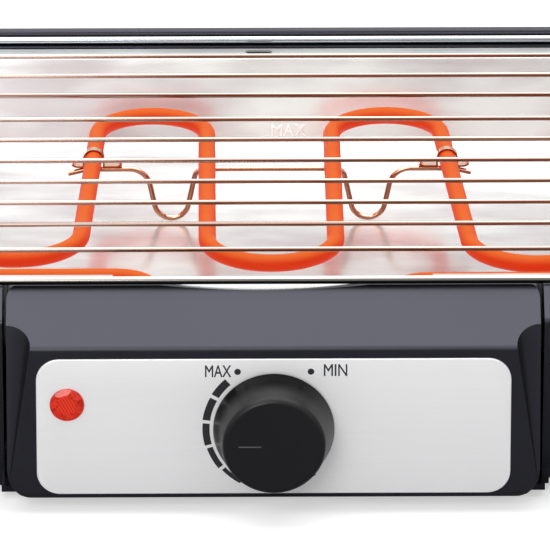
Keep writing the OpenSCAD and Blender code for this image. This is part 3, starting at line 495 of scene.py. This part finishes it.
def cut_lens():
    """The lamp's lens: a shallow dome whose crown is cut to six slanted facets and a flat top."""
    clear_selection()
    bpy.ops.mesh.primitive_circle_add(vertices=72, radius=LENS_R, fill_type="NGON", location=(0, 0, 0))
    lens = bpy.context.object
    bpy.ops.object.mode_set(mode="EDIT")
    bpy.ops.mesh.select_all(action="SELECT")
    extrude(LENS_SIDE)
    radius = LENS_R
    for ring in range(1, LENS_RINGS + 1):
        extrude(LENS_CROWN * (math.sin(ring * LENS_STEP) - math.sin((ring - 1) * LENS_STEP)))
        narrowed = LENS_R * math.cos(ring * LENS_STEP)
        bpy.ops.transform.resize(value=(narrowed / radius, narrowed / radius, 1))
        radius = narrowed
    for turn, tilt in zip(map(math.radians, FACET_TURNS), map(math.radians, FACET_TILTS)):
        normal = (math.cos(turn) * math.sin(tilt), math.sin(turn) * math.sin(tilt), math.cos(tilt))
        at = (FACET_R * math.cos(turn), FACET_R * math.sin(turn), FACET_RISE)
        bpy.ops.mesh.select_all(action="SELECT")
        bpy.ops.mesh.bisect(plane_co=at, plane_no=normal, use_fill=True, clear_outer=True)
    bpy.ops.mesh.select_all(action="SELECT")
    bpy.ops.mesh.remove_doubles(threshold=LENS_SLIVER)
    bpy.ops.mesh.normals_make_consistent(inside=False)
    bpy.ops.object.mode_set(mode="OBJECT")
    bpy.ops.object.shade_flat()
    lens.rotation_euler = (QUARTER_TURN, 0, 0)
    lens.location = (LAMP_X, LENS_Y, LAMP_Z)
    settle(lens, "pilot_lamp_lens", "heating_unit", lens_red)
    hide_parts("lamp_lens")


cut_lens()


# ---------- Strip in the top of the box ----------

BOX_TOP = 79.6 * MM  # flat top of the control box, behind its slope
DISH_X = -3 * MM  # middle of the shallow dish in that top, a groove that runs from front to back
DISH_R = 600 * MM
DISH_DEPTH = 1.2 * MM
CUTTER_Y, CUTTER_L = FACE_Y + 28 * MM, 40 * MM  # middle and length of what cuts the strip to the dish
STRIP_RISE = 0.25 * MM  # how far the strip's face stands over the dish
STRIP_R = 170 * MM  # curve of the strip's front edge, seen from above
STRIP_T = 1.7 * MM
STRIP_DROP = 0.03 * MM  # how far its flat ends lie under the box's top
STRIP_FRONT = FACE_Y + 24.4 * MM
STRIP_BACK = FACE_Y + 32.8 * MM


def lay_top_strip():
    """Bright strip let into the dish in the box's top edge: a segment of a disc that follows the dish."""
    clear_selection()
    bpy.ops.mesh.primitive_cylinder_add(
        vertices=1024, radius=DISH_R - STRIP_RISE, depth=CUTTER_L, rotation=(QUARTER_TURN, 0, 0),
        location=(DISH_X, CUTTER_Y, BOX_TOP + DISH_R - DISH_DEPTH)
    )
    dish = bpy.context.object
    clear_selection()
    bpy.ops.mesh.primitive_cylinder_add(
        vertices=720, radius=STRIP_R, depth=STRIP_T,
        location=(DISH_X, STRIP_FRONT + STRIP_R, BOX_TOP - STRIP_DROP - STRIP_T / 2)
    )
    strip = bpy.context.object
    take(strip)
    bpy.ops.object.transform_apply(location=True, rotation=False, scale=True)
    bpy.ops.object.mode_set(mode="EDIT")
    bpy.ops.mesh.select_all(action="SELECT")
    bpy.ops.mesh.bisect(plane_co=(0, STRIP_BACK, 0), plane_no=(0, 1, 0), use_fill=True, clear_outer=True)
    bpy.ops.object.mode_set(mode="OBJECT")
    modify(strip, "BOOLEAN", operation="DIFFERENCE", solver="EXACT", object=dish)
    bpy.data.objects.remove(dish)
    bpy.ops.object.shade_smooth_by_angle(angle=math.radians(30))
    settle(strip, "top_strip", "heating_unit", strip_steel)


lay_top_strip()


# ---------- Knob's pointer ----------

POINTER_X = -8.75 * MM
POINTER_L, POINTER_W, POINTER_T = 8.3 * MM, 0.4 * MM, 0.1 * MM
POINTER_END_R = 0.15 * MM  # rounding of its corners
POINTER_Y = KNOB_FRONT_Y + 0.03 * MM  # the line's place in its groove, just under the knob's face


def lay_pointer():
    """The painted line of the knob's pointer, in its groove at nine o'clock."""
    line = add_bar(POINTER_L, POINTER_W)
    modify(line, "BEVEL", affect="VERTICES", width=POINTER_END_R, segments=3)
    modify(line, "SOLIDIFY", thickness=POINTER_T)
    line.rotation_euler = (QUARTER_TURN, 0, 0)
    line.location = (POINTER_X, POINTER_Y, KNOB_Z)
    settle(line, "pointer_line", "knob_and_spindle", pointer_paint)


lay_pointer()


# ---------- Level mark in the tray ----------

WALL_LEAN = 10 / 34  # of the tray's walls: run over height
WALL_TOP_Y, WALL_TOP_Z = FACE_Y + 260.6 * MM, 78.8 * MM  # top of the rear wall
MARK_X, MARK_Z = 7.8 * MM, 51.4 * MM
MARK_RISE = 0.1 * MM  # how far the middle of the mark stands out from the wall
MARK_Y = WALL_TOP_Y - (WALL_TOP_Z - MARK_Z) * WALL_LEAN - MARK_RISE
MARK_SIZE, MARK_T, MARK_BEVEL = 6.4 * MM, 0.1 * MM, 0.06 * MM  # of the word's letters
MARK_LINE_L, MARK_LINE_W, MARK_LINE_T = 13 * MM, 0.7 * MM, 0.2 * MM
MARK_LINE_UP = 4.2 * MM  # from the middle of the word to the line


def emboss_level_mark():
    """A raised level mark on the tray's rear wall: the word and the line that the water stays under."""
    word = add_word("MAX", MARK_SIZE, MARK_T, MARK_BEVEL)
    line = add_bar(MARK_LINE_L, MARK_LINE_W, (0, MARK_LINE_UP, 0))
    modify(line, "SOLIDIFY", thickness=MARK_LINE_T, offset=0)
    word.select_set(True)
    bpy.context.view_layer.objects.active = word
    bpy.ops.object.join()
    word.rotation_euler = (QUARTER_TURN - math.atan(WALL_LEAN), 0, 0)
    word.location = (MARK_X, MARK_Y, MARK_Z)
    settle(word, "level_mark", "tray", embossed_steel)


emboss_level_mark()


# ---------- Printing on the panel ----------

INK_T = 0.05 * MM
INK_SINK = 0.01 * MM  # how far the ink's back lies under the panel's face, so that no gap shows
INK_Y = PLATE_Y - INK_T / 2 + INK_SINK
# The words are drawn in millimetres, where the modifiers work well: size, thickness and how far each
# outline is moved out to make the strokes bolder
PRINT_SIZE, PRINT_EXTRUDE, PRINT_BOLDER = 6.6, 0.1, 0.13
DOT_R, DOT_Z = 1.2 * MM, 56.4 * MM
SCALE_IN = 23.3 * MM  # inner radius of the heat scale
# Outer radius of each of its segments in millimetres, and its ends in degrees, anticlockwise from twelve
SCALE_OUT = (26.3, 26.1, 25.9, 25.5, 24.9, 24.4, 24.1, 23.9)
SCALE_FROM = (42.1, 61.9, 85.2, 107.8, 131.0, 153.5, 176.7, 199.9)
SCALE_TO = (58.8, 82.2, 105.0, 128.0, 150.4, 173.6, 196.8, 220.0)


def print_word(word, x, z, width):
    """A printed word on the panel, in bold strokes, brought down to its width."""
    text = add_word(word, PRINT_SIZE, PRINT_EXTRUDE)
    modify(text, "WELD", merge_threshold=0.001)
    modify(text, "DISPLACE", mid_level=0, strength=PRINT_BOLDER)
    text.scale = (width / text.dimensions.x, MM, INK_T / text.dimensions.z)
    text.rotation_euler = (QUARTER_TURN, 0, 0)
    text.location = (x, INK_Y, z)
    settle(text, word.lower() + "_print", "heating_unit", ink)


def print_dot(name, x):
    """A printed dot that marks one end of the scale."""
    clear_selection()
    bpy.ops.mesh.primitive_cylinder_add(
        vertices=40, radius=DOT_R, depth=INK_T, location=(x, INK_Y, DOT_Z), rotation=(QUARTER_TURN, 0, 0)
    )
    settle(bpy.context.object, name, "heating_unit", ink)


def print_segment(out, start, end):
    """One segment of the heat scale, face up: an edge laid across the band and spun to its length."""
    width = out * MM - SCALE_IN
    clear_selection()
    bpy.ops.mesh.primitive_plane_add(size=width, location=(0, 0, 0))
    segment = bpy.context.object
    bpy.ops.object.mode_set(mode="EDIT")
    bpy.ops.mesh.delete(type="ONLY_FACE")
    bpy.ops.mesh.select_all(action="DESELECT")
    bpy.ops.object.mode_set(mode="OBJECT")
    for vertex in segment.data.vertices:
        vertex.select = vertex.co.y > 0
    for edge in segment.data.edges:
        edge.select = all(segment.data.vertices[i].co.y > 0 for i in edge.vertices)
    bpy.ops.object.mode_set(mode="EDIT")
    bpy.ops.mesh.select_all(action="INVERT")
    bpy.ops.mesh.delete(type="VERT")
    bpy.ops.mesh.select_all(action="SELECT")
    bpy.ops.transform.translate(value=(0, -width / 2, 0))
    bpy.ops.transform.rotate(value=QUARTER_TURN, orient_axis="Z", center_override=(0, 0, 0))
    bpy.ops.transform.translate(value=(0, SCALE_IN + width / 2, 0))
    bpy.ops.transform.rotate(value=-math.radians(end), orient_axis="Z", center_override=(0, 0, 0))
    bpy.ops.mesh.spin(steps=12, angle=math.radians(end - start), center=(0, 0, 0), axis=(0, 0, 1))
    bpy.ops.mesh.select_all(action="SELECT")
    bpy.ops.mesh.remove_doubles(threshold=1e-6)
    bpy.ops.mesh.normals_make_consistent(inside=False)
    bpy.ops.object.mode_set(mode="OBJECT")
    return segment


def print_scale():
    """The heat scale: segments round the knob, thick beside MAX and thin at the far end."""
    segments = [print_segment(out, start, end) for out, start, end in zip(SCALE_OUT, SCALE_FROM, SCALE_TO)]
    clear_selection()
    for segment in segments:
        segment.select_set(True)
    bpy.context.view_layer.objects.active = segments[0]
    bpy.ops.object.join()
    scale = bpy.context.object
    modify(scale, "SOLIDIFY", thickness=INK_T, offset=0)
    scale.rotation_euler = (QUARTER_TURN, 0, 0)
    scale.location = (0, INK_Y, KNOB_Z)
    settle(scale, "heat_scale_print", "heating_unit", ink)


print_word("MAX", x=-20.3 * MM, z=56.4 * MM, width=9.5 * MM)
print_word("MIN", x=22.4 * MM, z=56.7 * MM, width=8.5 * MM)
print_dot("max_dot", x=-13.1 * MM)
print_dot("min_dot", x=13.5 * MM)
print_scale()


# ---------- Floor, light and camera ----------

FLOOR_R = 14
PAPER_PATCHES = 300  # across the floor's width, each about 9 cm wide


def white_paper():
    """Seamless white paper: matt, and lifted to white where it is seen, so that only its shadows show."""
    material, tree, _ = start_material("white_paper")
    cloud = add(tree, "TexNoise", {"Scale": PAPER_PATCHES})
    paper = add(tree, "Mix", {FACTOR: cloud, FIRST: srgb("#E2E2E2"), SECOND: srgb("#E6E6E6")}, **OF_COLOURS)
    # In the gloss of the grill the paper is painted darker: painted shade that stands in for the dim room in
    # front of it
    mirrored = add(tree, "LightPath", output="Is Glossy Ray")
    dimmed = add(tree, "Mix", {FACTOR: mirrored, FIRST: paper, SECOND: srgb("#8C8C90")}, **OF_COLOURS)
    matt = add(tree, "BsdfDiffuse", {"Color": dimmed})
    seen = add(tree, "LightPath", output="Is Camera Ray")
    strength = add(tree, "MapRange", {"Value": seen, "To Min": 0.0, "To Max": 0.5})
    lift = add(tree, "Emission", {"Color": srgb("#FFFFFF"), "Strength": strength})
    both = add(tree, "AddShader", {0: matt, 1: lift})
    add(tree, "OutputMaterial", {"Surface": both})
    return material


def lay_floor():
    clear_selection()
    bpy.ops.mesh.primitive_circle_add(vertices=96, radius=FLOOR_R, fill_type="NGON", location=(0, 0, 0))
    floor = bpy.context.object
    floor.name = "floor"
    wear(floor, white_paper())


def soft_world():
    """A pale room: even ambient light, white where it is seen, and brighter overhead in gloss."""
    world = bpy.data.worlds.new("studio")
    bpy.context.scene.world = world
    world.use_nodes = True
    tree = world.node_tree
    tree.nodes.clear()
    direction = add(tree, "TexCoord", output="Generated")
    upward = add(tree, "SeparateXYZ", {"Vector": direction}, "Z")
    rising = {"Value": upward, "From Min": 0.45, "From Max": 0.95}
    overhead = add(tree, "MapRange", {**rising, "To Min": 1.0, "To Max": 1.9})
    seen = add(tree, "LightPath", output="Is Camera Ray")
    plain = add(tree, "MapRange", {"Value": seen, "To Min": 0.45, "To Max": 1.0})
    mirrored = add(tree, "LightPath", output="Is Glossy Ray")
    # The inputs of a mix of two numbers are 0 for its factor, 2 and 3
    strength = add(tree, "Mix", {0: mirrored, 2: plain, 3: overhead}, data_type="FLOAT")
    room = add(tree, "Background", {"Color": srgb("#FFFFFF"), "Strength": strength})
    add(tree, "OutputWorld", {"Surface": room})


def soft_box(name, place, target, size, power):
    """A rectangular soft light at a place, facing a target."""
    lamp = bpy.data.lights.new(name, "AREA")
    lamp.shape = "RECTANGLE"
    lamp.size, lamp.size_y = size
    lamp.energy = power
    box = bpy.data.objects.new(name, lamp)
    bpy.context.scene.collection.objects.link(box)
    box.location = place
    box.rotation_euler = (Vector(target) - Vector(place)).to_track_quat("-Z", "Y").to_euler()


VIEW_PIXELS = 550
SENSOR_MM = 36
DISTANCE = 3.0
PIXELS_PER_M = 2753
AIM_PIXEL = (273.6, 428.3)  # where the knob's axis meets the box's face
ELEVATION = math.radians(23.4)
TURN = math.radians(0.5)


def set_camera():
    """A long lens from the front, a little above: the frame cuts the handles and the rear rim."""
    focal = PIXELS_PER_M * DISTANCE
    camera = bpy.data.cameras.new("camera")
    camera.sensor_width = SENSOR_MM
    camera.lens = focal * SENSOR_MM / VIEW_PIXELS
    holder = bpy.data.objects.new("camera", camera)
    bpy.context.scene.collection.objects.link(holder)
    level = math.cos(ELEVATION)
    back = Vector((-math.sin(TURN) * level, -math.cos(TURN) * level, math.sin(ELEVATION)))
    holder.location = Vector((0, FACE_Y, KNOB_Z)) + DISTANCE * back
    middle = VIEW_PIXELS / 2
    down = ELEVATION - math.atan((AIM_PIXEL[1] - middle) / focal)
    side = TURN + math.atan((middle - AIM_PIXEL[0]) / focal)
    holder.rotation_euler = (QUARTER_TURN - down, 0, -side)
    bpy.context.scene.camera = holder


lay_floor()
soft_world()
soft_box("overhead_softbox", place=(0, 0.05, 1.3), target=(0, 0, 0), size=(1.9, 1.6), power=15)
soft_box("front_fill", place=(-0.5, -1.55, 0.9), target=(0, -0.1, 0.04), size=(0.8, 0.8), power=12.5)
set_camera()
bpy.context.scene.view_settings.view_transform = "Standard"
